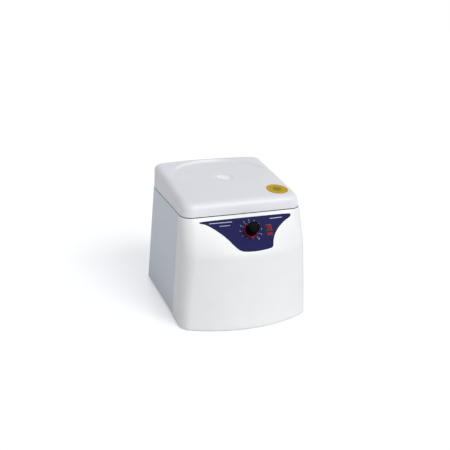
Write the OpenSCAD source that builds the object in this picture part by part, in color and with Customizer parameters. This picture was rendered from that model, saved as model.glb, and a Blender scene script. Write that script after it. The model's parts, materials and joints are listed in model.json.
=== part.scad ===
// Compact bench centrifuge for microplates: a moulded cabinet with a sloping
// hinged lid, a steel bowl, a two-place swing-out rotor and a one-knob control.
// Units are millimetres. +Z is up and the front faces -Y. The origin lies on
// the bench, under the middle of the bounding box.

/* [Cabinet] */
// Width of lid and cabinet at the lid seam
seam_w = 284; // [276:1:300]
// Depth of lid and cabinet at the lid seam
seam_d = 280; // [272:1:300]
// Height of the lid seam above the bench
seam_z = 257; // [252:1:280]
// Width of the cabinet at its lower edge
foot_w = 306; // [296:1:330]
// How far the back wall leans out at its lower edge
back_lean = 42; // [30:1:60]
// How far the middle of the back edge bulges out at the seam
back_bulge = 12; // [6:1:16]
// Thickness of the moulded walls
wall = 3; // [2.5:0.1:4]
// Plan radius of the front corners
corner_r = 28; // [24:1:34]
// Plan radius of the back corners
back_r = 16; // [12:1:30]
// Gap under the cabinet's lower edge
hem_z = 4; // [3:0.5:5]

/* [Front cover] */
// Height of the crease between the control face and the bulge
crease_z = 180; // [174:1:186]
// How far the crease stands out at the corners
crease_out = 23; // [18:1:28]
// How far the lower edge stands out at the corners
foot_out = 20; // [16:1:26]
// Extra bulge of the crease in the middle
crease_bulge = 37; // [30:1:44]
// Extra bulge of the lower edge in the middle
foot_bulge = 43; // [36:1:50]
// How far the cover stands proud of the side walls
cover_proud = 1.6; // [1:0.1:3]

/* [Lid] */
// Height of the lid at its front edge, above the seam
lid_front_h = 31; // [28:1:36]
// Rise of the lid's top from front to back
lid_rise = 31; // [22:1:34]
// Radius of the lid's top edge
lid_edge_r = 14; // [10:1:16]
// Radius of the round flat in the lid's top
flat_r = 127; // [120:1:128]
// Depth of the round flat where it is deepest, at the back
flat_depth = 3.4; // [2:0.1:5]
// Radius of the sight port
port_r = 17; // [12:0.5:20]

/* [Bowl and rotor] */
// Inner radius of the bowl
bowl_r = 124; // [122:0.5:125]
// Thickness of the bowl's sheet steel
bowl_t = 1.5; // [1:0.1:2]
// Height of the bowl's floor
bowl_z = 128; // [124:1:131]
// Distance of each carrier's trunnions from the spindle
trunnion_y = 54; // [53:0.5:56]
// Height of the trunnions
trunnion_z = 192; // [190:1:196]
// Length of a plate carrier's inside, for a 127.8 mm plate
tray_l = 128.6; // [128.2:0.1:129]
// Width of a plate carrier's inside, for an 85.5 mm plate
tray_w = 86.4; // [86:0.1:86.8]
// Depth of a plate carrier below its trunnions
tray_drop = 18; // [16:0.5:19]
// Thickness of the carrier's walls
tray_t = 1.8; // [1.5:0.1:2]
// Radius of the motor shaft
shaft_r = 4; // [3.5:0.1:4.5]

/* [Controls] */
// Radius of the speed knob
knob_r = 14.5; // [12:0.5:18]
// Height of the speed knob
knob_h = 28; // [20:1:34]
// Position of the speed knob across the panel
knob_x = 7.5; // [2:0.5:12]
// Height of the speed knob's axis where it meets the panel
knob_z = 223.5; // [216:0.5:224]
// Side of the square release button
button_w = 11; // [9:0.5:12]
// Travel of the release button
button_travel = 2; // [1:0.5:2.5]

/* [Hidden] */
$fn = 72;
snug = 0.3;      // clearance of parts that are set in place
run = 0.05;      // radial clearance of a shaft or pin in its bore

// Places shared by several pieces
seam_front = (foot_out + foot_bulge - seam_d - back_lean * (1 - hem_z / seam_z)) / 2;
seam_back = seam_front + seam_d;
seam_mid = (seam_front + seam_back) / 2;
rim_z = seam_z - 1.2;              // top edge of the cabinet, under the lid's gap
face_top_out = 2;                  // the control face starts this far out from the seam
axis_y = seam_mid + 5.5;           // the spindle
deck_top = seam_z - 6;
deck_t = 4;
liner_z = seam_z + 1;
liner_t = 3;
plate_z = 8;                       // underside of the base plate
plate_t = 2;
motor_r = 42;
motor_plate_z = 34;
motor_plate_t = 4;
motor_z = motor_plate_z + motor_plate_t;
motor_h = 76;
arm_x = tray_l / 2 + tray_t + 4;   // inner face of the rotor's side arms
arm_t = 7;
tray_rim = 8;                      // the carrier's wall above its trunnions
pin_r = 4;
hinge_x = 75;
hinge_r = 4.5;
hinge_pin_r = 2;
hinge_y = seam_back + back_bulge + hinge_r - 1.5;
hinge_z = seam_z + 1.5;
lock_x = -32;
hook_y = seam_front + 9;           // front face of the striker hook
hook_t = 3;
hook_w = 22;
lock_z = seam_z - 35;
lock_gap_y = 5.4;                  // room the hook needs in front of it as the lid opens
bolt_r = 3;
bolt_travel = 9;
button_x = 51;
button_z = 225;
lens_z = 213;
lens_w = 14;
lens_h = 7;
label_x = 98;
label_y = seam_front + 45;
label_r = 25.5;
rear_w = 190;
rear_h = 96;
rear_mid_z = 72;
rear_tilt = atan(back_lean / seam_z);
inlet_w = 28;
inlet_h = 20;
rocker_tilt = 10;                  // the rocker rests this far to one side
board_z = 22;
spindle_r = 3;
panel_lo = 185;
port_dip = 2.2;                    // the lid dips this far round the sight port

// Samples along the plan outline: front and back edges, side edges, corners
edge_n = 16;
side_n = 8;
arc_n = 6;

function along(a, b, n) = [for (i = [0:n - 1]) a + (b - a) * i / n];
function arc(c, r, start, n) = [for (i = [0:n - 1])
    c + r * [cos(start + 90 * i / n), sin(start + 90 * i / n)]];

// A rounded rectangle from front y to back y
function plan(hw, yf, yb, r, rb) = concat(
    along([-hw + r, yf], [hw - r, yf], edge_n),
    arc([hw - r, yf + r], r, -90, arc_n),
    along([hw, yf + r], [hw, yb - rb], side_n),
    arc([hw - rb, yb - rb], rb, 0, arc_n),
    along([hw - rb, yb], [-hw + rb, yb], edge_n),
    arc([-hw + rb, yb - rb], rb, 90, arc_n),
    along([-hw, yb - rb], [-hw, yf + r], side_n),
    arc([-hw + r, yf + r], r, 180, arc_n));

// The same outline with its front and back edges bulged out to a parabola
function bulged(points, hw, front, back) = [for (p = points)
    [p.x, p.y + (p.y < seam_mid ? -front : back) * (1 - pow(min(1, abs(p.x) / hw), 2))]];

// Cabinet sizes at a height
function half_w(z) = seam_w / 2 + (foot_w - seam_w) / 2 * (1 - z / seam_z);
function back_y(z) = seam_back + back_lean * (1 - z / seam_z);
function back_out(z) = back_bulge * z / seam_z;
function mix(a, b, t) = a + (b - a) * t;
function face_share(z) = (rim_z - z) / (rim_z - crease_z);
function out_at(z) = z > crease_z
    ? mix(face_top_out, crease_out, face_share(z)) : mix(foot_out, crease_out, z / crease_z);
function bulge_at(z) = z > crease_z
    ? crease_bulge * face_share(z) : mix(foot_bulge, crease_bulge, z / crease_z);

function body_plan(z, inset, proud) = bulged(
    plan(half_w(z) + proud - inset, seam_front - out_at(z) + inset,
        back_y(z) - inset, corner_r - inset, back_r - inset),
    half_w(z) + proud - inset, bulge_at(z), back_out(z));

// Solid through rings of the same number of points, anticlockwise from above,
// closed at both ends by triangles round a middle point
module loft(rings) {
    n = len(rings[0]);
    last = (len(rings) - 1) * n;
    low = len(rings) * n;
    polyhedron(
        points = concat(
            [for (ring = rings) for (p = ring) p],
            [[0, seam_mid, rings[0][0].z], [0, seam_mid, rings[len(rings) - 1][0].z]]),
        faces = concat(
            [for (k = [0:len(rings) - 2]) for (i = [0:n - 1]) let (j = (i + 1) % n)
                each [[k * n + i, (k + 1) * n + j, k * n + j],
                      [k * n + i, (k + 1) * n + i, (k + 1) * n + j]]],
            [for (i = [0:n - 1]) [low, i, (i + 1) % n]],
            [for (i = [0:n - 1]) [low + 1, last + (i + 1) % n, last + i]]));
}

function at_z(points, z) = [for (p = points) [p.x, p.y, z]];

module body_loft(levels, inset, proud) {
    loft([for (z = levels) at_z(body_plan(z, inset, proud), z)]);
}

// Levels of the front cover, with a soft crease, and of the plain housing
cover_levels = [2, 60, 120, crease_z - 12, crease_z - 5, crease_z + 1, crease_z + 7, 215, rim_z];
cover_deep = concat([-1], [for (i = [1:7]) cover_levels[i]], [rim_z + 0.01]);

module box(lo, hi) {
    translate(lo) cube(hi - lo);
}

module ring_z(ro, ri, z0, z1) {
    translate([0, 0, z0]) difference() {
        cylinder(r = ro, h = z1 - z0);
        translate([0, 0, -1]) cylinder(r = ri, h = z1 - z0 + 2);
    }
}

// Everything in front of the joint between cover and housing, moved back by d
module front_side(d) {
    rotate([90, 0, 90]) linear_extrude(height = 400, center = true)
        polygon([[-300, -20], [seam_front + 59 + d, -20], [seam_front + 29 + d, 270], [-300, 270]]);
}

// The control face: its y at a place, and a frame with +Z out of the face
function face_y(x, z) = seam_front - out_at(z)
    - bulge_at(z) * (1 - pow(x / (half_w(z) + cover_proud), 2));
function face_dz(x, z) = (face_y(x, z + 1) - face_y(x, z - 1)) / 2;
function face_dx(x, z) = (face_y(x + 1, z) - face_y(x - 1, z)) / 2;

module on_face(x, z) {
    translate([x, face_y(x, z), z])
        rotate([90 - atan(face_dz(x, z) / sqrt(1 + pow(face_dx(x, z), 2))), 0, atan(face_dx(x, z))])
            children();
}

module cover_holes() {
    on_face(knob_x, knob_z) cylinder(r = spindle_r + 0.9, h = 20, center = true);
    on_face(button_x, button_z) cube([button_w + 3.2, button_w + 3.2, 24], center = true);
    on_face(button_x, lens_z) cube([lens_w + 0.4, lens_h + 0.4, 24], center = true);
}

module hinge_places() {
    for (side = [-1, 1]) translate([side * hinge_x, hinge_y, hinge_z]) children();
}

module rear_frame() {
    translate([0, back_y(rear_mid_z) + back_out(rear_mid_z) + 0.4, rear_mid_z])
        rotate([rear_tilt, 0, 0]) children();
}

// Cabinet and everything fixed in it
module main_housing() {
    color("#E4E6EA") difference() {
        body_loft([hem_z, 60, 160, rim_z], 0, 0);
        body_loft([hem_z - 1, 60, 160, rim_z + 1], wall, 0);
        front_side(0.4);
        hinge_places() box([-15, -30, -hinge_z + deck_top - 0.4], [15, 10, 10]);
        rear_frame() box([-rear_w / 2 - snug, -40, -rear_h / 2 - snug],
            [rear_w / 2 + snug, 20, rear_h / 2 + snug]);
    }
}

module front_cover() {
    color("#F2F3F5") difference() {
        intersection() {
            body_loft(cover_levels, 0, cover_proud);
            front_side(0);
        }
        body_loft(cover_deep, wall, cover_proud);
        cover_holes();
    }
}

// The overlay's outline seen from the front
panel_pts = [[-102, 248.5], [-104.5, 245.5], [-88, 239.5], [-71, 229], [-58, 219.3], [-46.4, 208.8],
    [-38, 199.5], [-28, 191], [-10.4, 186], [9, panel_lo], [29, 185.5], [45.4, 187.2], [52.5, 191],
    [56.3, 199.7], [63.3, 211], [76.3, 224], [94.7, 235.2], [109, 242.7], [105.8, 248.5]];

module control_overlay() {
    color("#2B2F6B") difference() {
        intersection() {
            body_loft(cover_levels, -0.75, cover_proud);
            rotate([90, 0, 0]) linear_extrude(height = 400) polygon(panel_pts);
        }
        body_loft(cover_deep, -0.05, cover_proud);
        cover_holes();
    }
}

module top_deck() {
    color("#D9DBDF") difference() {
        body_loft([deck_top - deck_t, deck_top], wall + 0.2, 0);
        translate([0, axis_y, 0]) cylinder(r = bowl_r + bowl_t + 0.3, h = 400);
        box([lock_x - hook_w / 2 - 1, hook_y - lock_gap_y, 200],
            [lock_x + hook_w / 2 + 1, hook_y + hook_t + 1, 300]);
    }
}

module bowl() {
    color("#C9CCD0") translate([0, axis_y, 0]) difference() {
        union() {
            translate([0, 0, bowl_z]) cylinder(r = bowl_r + bowl_t, h = deck_top + 1.5 - bowl_z);
            translate([0, 0, deck_top + 0.1]) cylinder(r = bowl_r + 4.5, h = 1.4);
        }
        translate([0, 0, bowl_z + bowl_t]) cylinder(r = bowl_r, h = 200);
        translate([0, 0, bowl_z - 5]) cylinder(r = 12, h = 20);
    }
}

module bowl_gasket() {
    color("#2A2A2C") translate([0, axis_y, 0])
        ring_z(bowl_r + 4.3, bowl_r + 0.4, deck_top + 1.5, liner_z - 0.1);
}

foot_xy = [[-112, -112], [112, -112], [-112, 150], [112, 150]];
motor_feet = [for (a = [90, 210, 330]) [50 * cos(a), axis_y + 50 * sin(a)]];

module base_plate() {
    color("#8E9196") difference() {
        body_loft([plate_z, plate_z + plate_t], wall + 0.3, 0);
        for (p = foot_xy) translate([p.x, p.y, 0]) cylinder(r = 2.5, h = 40);
    }
}

module rubber_feet() {
    color("#1E1E20") for (p = foot_xy) translate([p.x, p.y, 0]) {
        cylinder(r1 = 12, r2 = 14, h = plate_z);
        cylinder(r = 2.45, h = plate_z + plate_t + 1);
    }
}

module motor_dampers() {
    color("#2A2A2C") for (p = motor_feet)
        translate([p.x, p.y, plate_z + plate_t]) cylinder(r = 9, h = motor_plate_z - plate_z - plate_t);
}

module motor_plate() {
    color("#9A9DA2") translate([0, axis_y, motor_plate_z]) difference() {
        cylinder(r = 62, h = motor_plate_t);
        translate([0, 0, -1]) cylinder(r = 13, h = 10);
    }
}

module motor_stator() {
    color("#7A4A2A") translate([0, axis_y, 0]) {
        ring_z(motor_r, motor_r - 3, motor_z, motor_z + motor_h);
        ring_z(motor_r - 3, 11, motor_z, motor_z + 3);
        ring_z(motor_r - 3, 11, motor_z + motor_h - 3, motor_z + motor_h);
        ring_z(motor_r - 3, 27, motor_z + 18, motor_z + 58);
    }
}

module motor_bearings() {
    color("#B8BABD") translate([0, axis_y, 0]) {
        ring_z(11, shaft_r + run, motor_z, motor_z + 7);
        ring_z(11, shaft_r + run, motor_z + motor_h - 7, motor_z + motor_h);
    }
}

module rear_panel() {
    color("#A9ACB1") rear_frame() difference() {
        box([-rear_w / 2, -wall - 0.5, -rear_h / 2], [rear_w / 2, -1, rear_h / 2]);
        inlet_place() box([-inlet_w / 2 - 0.2, -40, -inlet_h / 2 - 0.2],
            [inlet_w / 2 + 0.2, 10, inlet_h / 2 + 0.2]);
        rocker_place() box([-10.2, -40, -14.2], [10.2, 10, 14.2]);
        fuse_place() rotate([90, 0, 0]) cylinder(r = 8.2, h = 80, center = true);
        for (i = [0:8]) box([-80 + i * 9, -20, -30], [-76 + i * 9, 10, 30]);
    }
}

module inlet_place() {
    translate([62, 0, -14]) children();
}
module rocker_place() {
    translate([34, 0, -12]) children();
}
module fuse_place() {
    translate([62, 0, 18]) children();
}

module mains_inlet() {
    color("#1B1B1D") rear_frame() inlet_place() difference() {
        union() {
            box([-inlet_w / 2, -22, -inlet_h / 2], [inlet_w / 2, 0, inlet_h / 2]);
            box([-inlet_w / 2 - 2, -0.9, -inlet_h / 2 - 2], [inlet_w / 2 + 2, 1.2, inlet_h / 2 + 2]);
        }
        box([-11.5, -17, -7.5], [11.5, 10, 7.5]);
    }
    color("#B8A050") rear_frame() inlet_place() for (x = [-7, 0, 7])
        box([x - 1, -17, x == 0 ? 0 : -4], [x + 1, -9, x == 0 ? 5 : 1]);
}

module fuse_holder() {
    color("#1B1B1D") rear_frame() fuse_place() rotate([90, 0, 0]) {
        translate([0, 0, -5]) cylinder(r = 7.5, h = 6);
        translate([0, 0, 1]) cylinder(r = 8, h = 22);
        translate([0, 0, -1]) cylinder(r = 10, h = 1.9);
    }
}

module switch_frame() {
    color("#1B1B1D") rear_frame() rocker_place() difference() {
        union() {
            box([-10, -22, -14], [10, 0, 14]);
            box([-12, -0.9, -16], [12, 1.6, 16]);
        }
        box([-6.5, -19, -11.5], [6.5, 10, 11.5]);
    }
}

module mains_rocker() {
    color("#26262A") rear_frame() rocker_place() translate([0, -8, 0])
        rotate([-rocker_tilt, 0, 0]) difference() {
            union() {
                box([-6.2, 0, -8.4], [6.2, 9, 8.4]);
                rotate([0, 90, 0]) cylinder(r = 4, h = 12.4, center = true);
            }
            translate([0, 30, 0]) rotate([0, 90, 0]) cylinder(r = 22, h = 40, center = true);
        }
}

module control_board() {
    color("#1F6B3A") {
        box([-70, seam_front - 36, board_z], [50, seam_front + 24, board_z + 1.6]);
        box([-60, seam_front - 30, board_z + 1.6], [-36, seam_front - 8, board_z + 14]);
        box([-20, seam_front - 20, board_z + 1.6], [0, seam_front, board_z + 6]);
        for (i = [0:3]) translate([10 + i * 10, seam_front + 10, board_z + 1.6]) cylinder(r = 4, h = 12);
    }
}

module board_spacers() {
    color("#C9CCD0") for (x = [-64, 44]) for (y = [-30, 18])
        translate([x, seam_front + y, plate_z + plate_t]) cylinder(r = 3, h = board_z - plate_z - plate_t);
}

module transformer() {
    color("#5A4632") {
        box([-105, 110, plate_z + plate_t], [-55, 160, plate_z + plate_t + 42]);
        box([-98, 104, plate_z + plate_t + 8], [-62, 166, plate_z + plate_t + 34]);
    }
}

module speed_control() {
    color("#3A3D42") on_face(knob_x, knob_z) difference() {
        union() {
            translate([0, 0, -16]) cylinder(r = 12, h = 12);
            translate([0, 0, -4.2]) cylinder(r = 5, h = 1.2);
        }
        translate([0, 0, -14]) cylinder(r = spindle_r + run, h = 20);
    }
}

module indicator_lens() {
    color("#8E1216") on_face(button_x, lens_z)
        translate([0, 0, -2]) cube([lens_w, lens_h, 7], center = true);
}

module button_sleeve() {
    color("#1B1B1D") on_face(button_x, button_z) difference() {
        union() {
            translate([0, 0, -6]) cube([button_w + 2.6, button_w + 2.6, 14.4], center = true);
            translate([0, 0, 1.1]) cube([button_w + 3, button_w + 3, 0.4], center = true);
        }
        translate([0, 0, 3]) cube([button_w + 0.4, button_w + 0.4, 28], center = true);
    }
}

module release_button() {
    color("#C41E24") on_face(button_x, button_z)
        translate([0, 0, -1.9]) cube([button_w, button_w, 11], center = true);
}

module lock_housing() {
    y0 = hook_y - lock_gap_y - 2.5;
    color("#A9ACB1") translate([lock_x, 0, 0]) difference() {
        union() {
            box([-15, y0, lock_z - 13], [15, y0 + 2.5, deck_top - deck_t]);
            box([-15, y0 - 5, deck_top - deck_t - 2.5], [15, y0 + 2.5, deck_top - deck_t]);
        }
        translate([0, y0 - 10, lock_z]) rotate([-90, 0, 0]) cylinder(r = bolt_r + run, h = 30);
    }
}

module lock_solenoid() {
    y0 = hook_y - lock_gap_y - 2.5;
    color("#2E4A7A") translate([lock_x, y0 - 18, lock_z]) rotate([-90, 0, 0]) difference() {
        cylinder(r = 10, h = 18);
        translate([0, 0, 0.8]) cylinder(r = bolt_r + run, h = 30);
    }
}

module lock_bolt() {
    y0 = hook_y - lock_gap_y - 2.5;
    color("#C9CCD0") translate([lock_x, y0 - 17, lock_z]) rotate([-90, 0, 0])
        cylinder(r = bolt_r, h = 19.4);
}

module hinge_brackets() {
    color("#A9ACB1") hinge_places() difference() {
        union() {
            box([-13, -24, deck_top - hinge_z], [13, -6, deck_top - hinge_z + 3]);
            for (side = [-1, 1]) translate([side * 10, 0, 0]) {
                box([-3, -7, deck_top - hinge_z], [3, 0, deck_top - hinge_z + 3]);
                rotate([0, 90, 0]) cylinder(r = hinge_r, h = 6, center = true);
                box([-3, -4.5, deck_top - hinge_z], [3, 0, 0]);
            }
        }
        rotate([0, 90, 0]) cylinder(r = hinge_pin_r, h = 60, center = true);
    }
}

module hinge_pins() {
    color("#C9CCD0") hinge_places() rotate([0, 90, 0]) cylinder(r = hinge_pin_r, h = 27, center = true);
}

module rear_screws() {
    color("#8A8D92") rear_frame() for (x = [-1, 1]) for (z = [-1, 1])
        translate([x * (rear_w / 2 - 6), -1, z * (rear_h / 2 - 6)]) rotate([-90, 0, 0])
            cylinder(r = 3, h = 1.6);
}

module base_screws() {
    color("#8A8D92") for (p = [[-128, -40], [128, -40], [-128, 70], [128, 70], [0, -160], [0, 172]])
        translate([p.x, p.y, plate_z - 2]) cylinder(r = 4, h = 2);
}

// Lid and everything fixed to it
function lid_top(y) = seam_z + lid_front_h - 3 + lid_rise * (y - seam_front) / seam_d;
function lid_crown(x, y) =
    7.2 * (1 - pow(x / (seam_w / 2), 2)) * (1 - pow((y - seam_mid) / (seam_d / 2), 2));
function lid_plan(inset) = bulged(
    plan(seam_w / 2 - inset, seam_front + inset, seam_back - inset,
        max(6, corner_r - 2 - inset * 0.4), max(6, back_r - inset * 0.4)),
    seam_w / 2, 1, back_bulge);

// Lid skin as rings from the lower edge up and over: [inset, height share]
function lid_side(inset, down) = [for (p = lid_plan(inset)) [p.x, p.y, lid_top(p.y) - down]];
function lid_rings(gap, low) = concat(
    [at_z(lid_plan(gap), low)],
    [for (a = [0:22.5:90]) lid_side(1.5 + gap + (lid_edge_r - gap) * (1 - cos(a)),
        gap + (lid_edge_r - gap) * (1 - sin(a)))]);
function with_top(p, gap) = [p.x, p.y, lid_top(p.y) + lid_crown(p.x, p.y) - gap];
function flat_z(y) = lid_top(axis_y) + 6.9 - flat_depth + 0.045 * (y - axis_y);
function dimple(r) = port_dip * pow(max(0, min(1, (port_r + 10 - r) / 9)), 0.5);
function sunk(p, gap) = [p.x, p.y,
    min(lid_top(p.y) + lid_crown(p.x, p.y), flat_z(p.y)) - gap - dimple(norm([p.x, p.y - axis_y]))];
function shrink(p, r) = let (v = [p.x, p.y - axis_y], d = norm(v))
    [v.x * min(1, r / d), axis_y + v.y * min(1, r / d)];
function lid_over(gap) = [
    for (r = [flat_r + 1, flat_r - 5]) [for (p = lid_plan(1.5 + lid_edge_r))
        r > flat_r ? with_top(shrink(p, r), gap) : sunk(shrink(p, r), gap)],
    for (r = [96, 60, port_r + 10, port_r + 5, port_r + 1])
        [for (p = lid_plan(1.5 + lid_edge_r)) sunk(shrink(p, r), gap)]];

module lid_solid(gap, low) {
    loft_to(concat(lid_rings(gap, low), lid_over(gap)));
}

// As loft, with the upper end closed round a point at the sight port's height
module loft_to(rings) {
    n = len(rings[0]);
    last = (len(rings) - 1) * n;
    low = len(rings) * n;
    top_z = min([for (p = rings[len(rings) - 1]) p.z]);
    polyhedron(
        points = concat(
            [for (ring = rings) for (p = ring) p],
            [[0, seam_mid, rings[0][0].z], [0, axis_y, top_z]]),
        faces = concat(
            [for (k = [0:len(rings) - 2]) for (i = [0:n - 1]) let (j = (i + 1) % n)
                each [[k * n + i, (k + 1) * n + j, k * n + j],
                      [k * n + i, (k + 1) * n + i, (k + 1) * n + j]]],
            [for (i = [0:n - 1]) [low, i, (i + 1) % n]],
            [for (i = [0:n - 1]) [low + 1, last + (i + 1) % n, last + i]]));
}

port_top = flat_z(axis_y) - port_dip;
module lid_shell() {
    color("#E9EBEE") difference() {
        lid_solid(0, seam_z);
        lid_solid(wall, seam_z - 1);
        translate([0, axis_y, seam_z]) cylinder(r = port_r + snug, h = 100);
        hinge_places() box([-15, -30, -10], [15, 30, 8.5]);
    }
}

module lid_liner() {
    color("#D5D7DA") difference() {
        loft([at_z(lid_plan(wall + 0.6), liner_z), at_z(lid_plan(wall + 0.6), liner_z + liner_t)]);
        translate([0, axis_y, 0]) cylinder(r = port_r - 1.5, h = 400);
        hinge_places() box([-15, -12, -10], [15, 30, 10]);
    }
}

module sight_port() {
    color("#F4F6F8") translate([0, axis_y, 0]) rotate_extrude() polygon([
        [0, port_top - 5], [port_r - 3, port_top - 4], [port_r - 3, liner_z + liner_t + 0.1],
        [port_r + 4, liner_z + liner_t + 0.1], [port_r + 4, liner_z + liner_t + 2],
        [port_r, liner_z + liner_t + 2],
        [port_r, port_top + 0.2], [port_r - 2, port_top], [0, port_top - 2.5]]);
}

module lid_hinge_arms() {
    color("#A9ACB1") hinge_places() difference() {
        union() {
            box([-6.5, -34, liner_z + liner_t + 0.1 - hinge_z], [6.5, 0, liner_z + liner_t + 3.1 - hinge_z]);
            rotate([0, 90, 0]) cylinder(r = hinge_r, h = 13, center = true);
            box([-6.5, -hinge_r, 0], [6.5, 0, liner_z + liner_t + 3.1 - hinge_z]);
        }
        rotate([0, 90, 0]) cylinder(r = hinge_pin_r + run, h = 60, center = true);
    }
}

module striker_hook() {
    color("#A9ACB1") translate([lock_x, hook_y, 0]) difference() {
        union() {
            box([-hook_w / 2, 0, lock_z - 9], [hook_w / 2, hook_t, liner_z]);
            box([-hook_w / 2, 0, liner_z - 2], [hook_w / 2, hook_t + 1.2, liner_z]);
        }
        translate([0, -5, lock_z]) rotate([-90, 0, 0]) cylinder(r = bolt_r + 0.8, h = 20);
    }
}

module label_disc() {
    color("#E3B40E") intersection() {
        translate([label_x, label_y, 0]) cylinder(r = label_r, h = 400);
        difference() {
            lid_solid(-0.45, seam_z - 0.5);
            lid_solid(-0.05, seam_z - 1);
        }
    }
}

module lid_screws() {
    color("#8A8D92") for (x = [-118, 118]) for (y = [-118, 118])
        translate([x, seam_mid + y, liner_z - 1.2]) cylinder(r = 4, h = 1.2);
}

// Rotor and carriers
module motor_shaft() {
    color("#B8BABD") translate([0, axis_y, motor_z + 0.5])
        cylinder(r = shaft_r, h = trunnion_z + 30 - motor_z);
}

module motor_armature() {
    color("#6A6D72") translate([0, axis_y, 0]) {
        ring_z(25, shaft_r, motor_z + 18, motor_z + 58);
        ring_z(8, shaft_r, motor_z + 8, motor_z + 18);
        ring_z(9, shaft_r, motor_z + motor_h + 1, trunnion_z - 24);
    }
}

module rotor_yoke() {
    color("#7D8085") translate([0, axis_y, trunnion_z]) difference() {
        union() {
            box([-arm_x - arm_t, -6, -16], [arm_x + arm_t, 6, 14]);
            translate([0, 0, -24]) cylinder(r = 7, h = 38);
            for (side = [-1, 1]) translate([side * (arm_x + arm_t / 2), 0, 0]) {
                box([-arm_t / 2, -trunnion_y, -8], [arm_t / 2, trunnion_y, 8]);
                for (e = [-1, 1]) translate([0, e * trunnion_y, 0]) rotate([0, 90, 0])
                    cylinder(r = 8, h = arm_t, center = true);
            }
        }
        translate([0, 0, -50]) cylinder(r = shaft_r, h = 100);
        for (e = [-1, 1]) translate([0, e * trunnion_y, 0]) rotate([0, 90, 0])
            cylinder(r = pin_r, h = 300, center = true);
    }
}

module trunnion_pins() {
    color("#C9CCD0") for (side = [-1, 1]) for (e = [-1, 1])
        translate([side > 0 ? tray_l / 2 + 0.3 : -arm_x - arm_t, axis_y + e * trunnion_y, trunnion_z])
            rotate([0, 90, 0]) cylinder(r = pin_r, h = arm_x + arm_t - tray_l / 2 - 0.3);
}

module rotor_nut() {
    color("#B8BABD") translate([0, axis_y, trunnion_z + 14.05]) difference() {
        union() {
            cylinder(r = 12, h = 4);
            translate([0, 0, 4]) cylinder(r = 9, h = 8, $fn = 6);
        }
        translate([0, 0, -1]) cylinder(r = shaft_r, h = 30);
    }
}

module carrier(e) {
    hl = tray_l / 2 + tray_t;
    hw = tray_w / 2 + tray_t;
    translate([0, axis_y + e * trunnion_y, trunnion_z]) difference() {
        union() {
            intersection() {
                box([-hl, -hw, -tray_drop - tray_t], [hl, hw, tray_rim]);
                translate([0, 0, -60]) linear_extrude(height = 120) round_rect(hl, hw, 5);
            }
            for (side = [-1, 1]) translate([side * (hl + 1.6), 0, 0]) rotate([0, 90, 0])
                cylinder(r = 7, h = 3.6, center = true);
        }
        box([-tray_l / 2, -tray_w / 2, -tray_drop], [tray_l / 2, tray_w / 2, 50]);
        rotate([0, 90, 0]) cylinder(r = pin_r + run, h = 300, center = true);
    }
}

module round_rect(hl, hw, r) {
    square([2 * hl - 2 * r, 2 * hw], center = true);
    square([2 * hl, 2 * hw - 2 * r], center = true);
    for (sx = [-1, 1]) for (sy = [-1, 1]) translate([sx * (hl - r), sy * (hw - r)]) circle(r = r);
}

module carrier_mat(e) {
    translate([0, axis_y + e * trunnion_y, trunnion_z])
        box([-tray_l / 2 + 3, -tray_w / 2 + 3, -tray_drop], [tray_l / 2 - 3, tray_w / 2 - 3, -tray_drop + 1]);
}

module plate_carrier_front() {
    color("#9FA3A8") carrier(-1);
}
module plate_carrier_rear() {
    color("#9FA3A8") carrier(1);
}
module carrier_mat_front() {
    color("#2A2A2C") carrier_mat(-1);
}
module carrier_mat_rear() {
    color("#2A2A2C") carrier_mat(1);
}

// Speed knob
module knob_body() {
    color("#151517") on_face(knob_x, knob_z) difference() {
        union() {
            translate([0, 0, 3]) cylinder(r = knob_r, h = 3);
            translate([0, 0, 6]) cylinder(r1 = knob_r - 0.7, r2 = knob_r - 1.3, h = knob_h - 6);
        }
        translate([0, 0, 2]) cylinder(r = spindle_r, h = knob_h - 6);
    }
}

module knob_pointer_ring() {
    color("#C41E24") on_face(knob_x, knob_z) translate([0, 0, 1.8]) difference() {
        union() {
            cylinder(r = knob_r + 1.2, h = 1.2);
            linear_extrude(height = 1.2) polygon([[-3.5, -knob_r], [0, -knob_r - 6], [3.5, -knob_r]]);
        }
        translate([0, 0, -1]) cylinder(r = spindle_r, h = 5);
    }
}

module knob_spindle() {
    color("#B8BABD") on_face(knob_x, knob_z) translate([0, 0, -13.8]) cylinder(r = spindle_r, h = knob_h + 9);
}

main_housing();
front_cover();
control_overlay();
top_deck();
bowl();
bowl_gasket();
base_plate();
rubber_feet();
motor_dampers();
motor_plate();
motor_stator();
motor_bearings();
rear_panel();
mains_inlet();
fuse_holder();
switch_frame();
control_board();
board_spacers();
transformer();
speed_control();
indicator_lens();
button_sleeve();
lock_housing();
lock_solenoid();
hinge_brackets();
hinge_pins();
rear_screws();
base_screws();
lid_shell();
lid_liner();
lid_hinge_arms();
striker_hook();
sight_port();
label_disc();
lid_screws();
motor_shaft();
motor_armature();
rotor_yoke();
trunnion_pins();
rotor_nut();
plate_carrier_front();
carrier_mat_front();
plate_carrier_rear();
carrier_mat_rear();
knob_body();
knob_pointer_ring();
knob_spindle();
mains_rocker();
release_button();
lock_bolt();
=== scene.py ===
# %% [markdown]
# A bench centrifuge, dressed over its frame
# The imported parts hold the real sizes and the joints. This lesson gives them their finish: smooth moulded
# skins for the lid and the cabinet, a printed control panel, a knob with a pointer, a milky sight port, a
# folded rear panel and a plain white studio.
# Lengths are written in millimetres, as on a drawing, and turned to metres where a mesh is made.

# %% Load the frame
import json
import math

import bpy
from mathutils import Euler, Matrix, Vector


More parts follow.
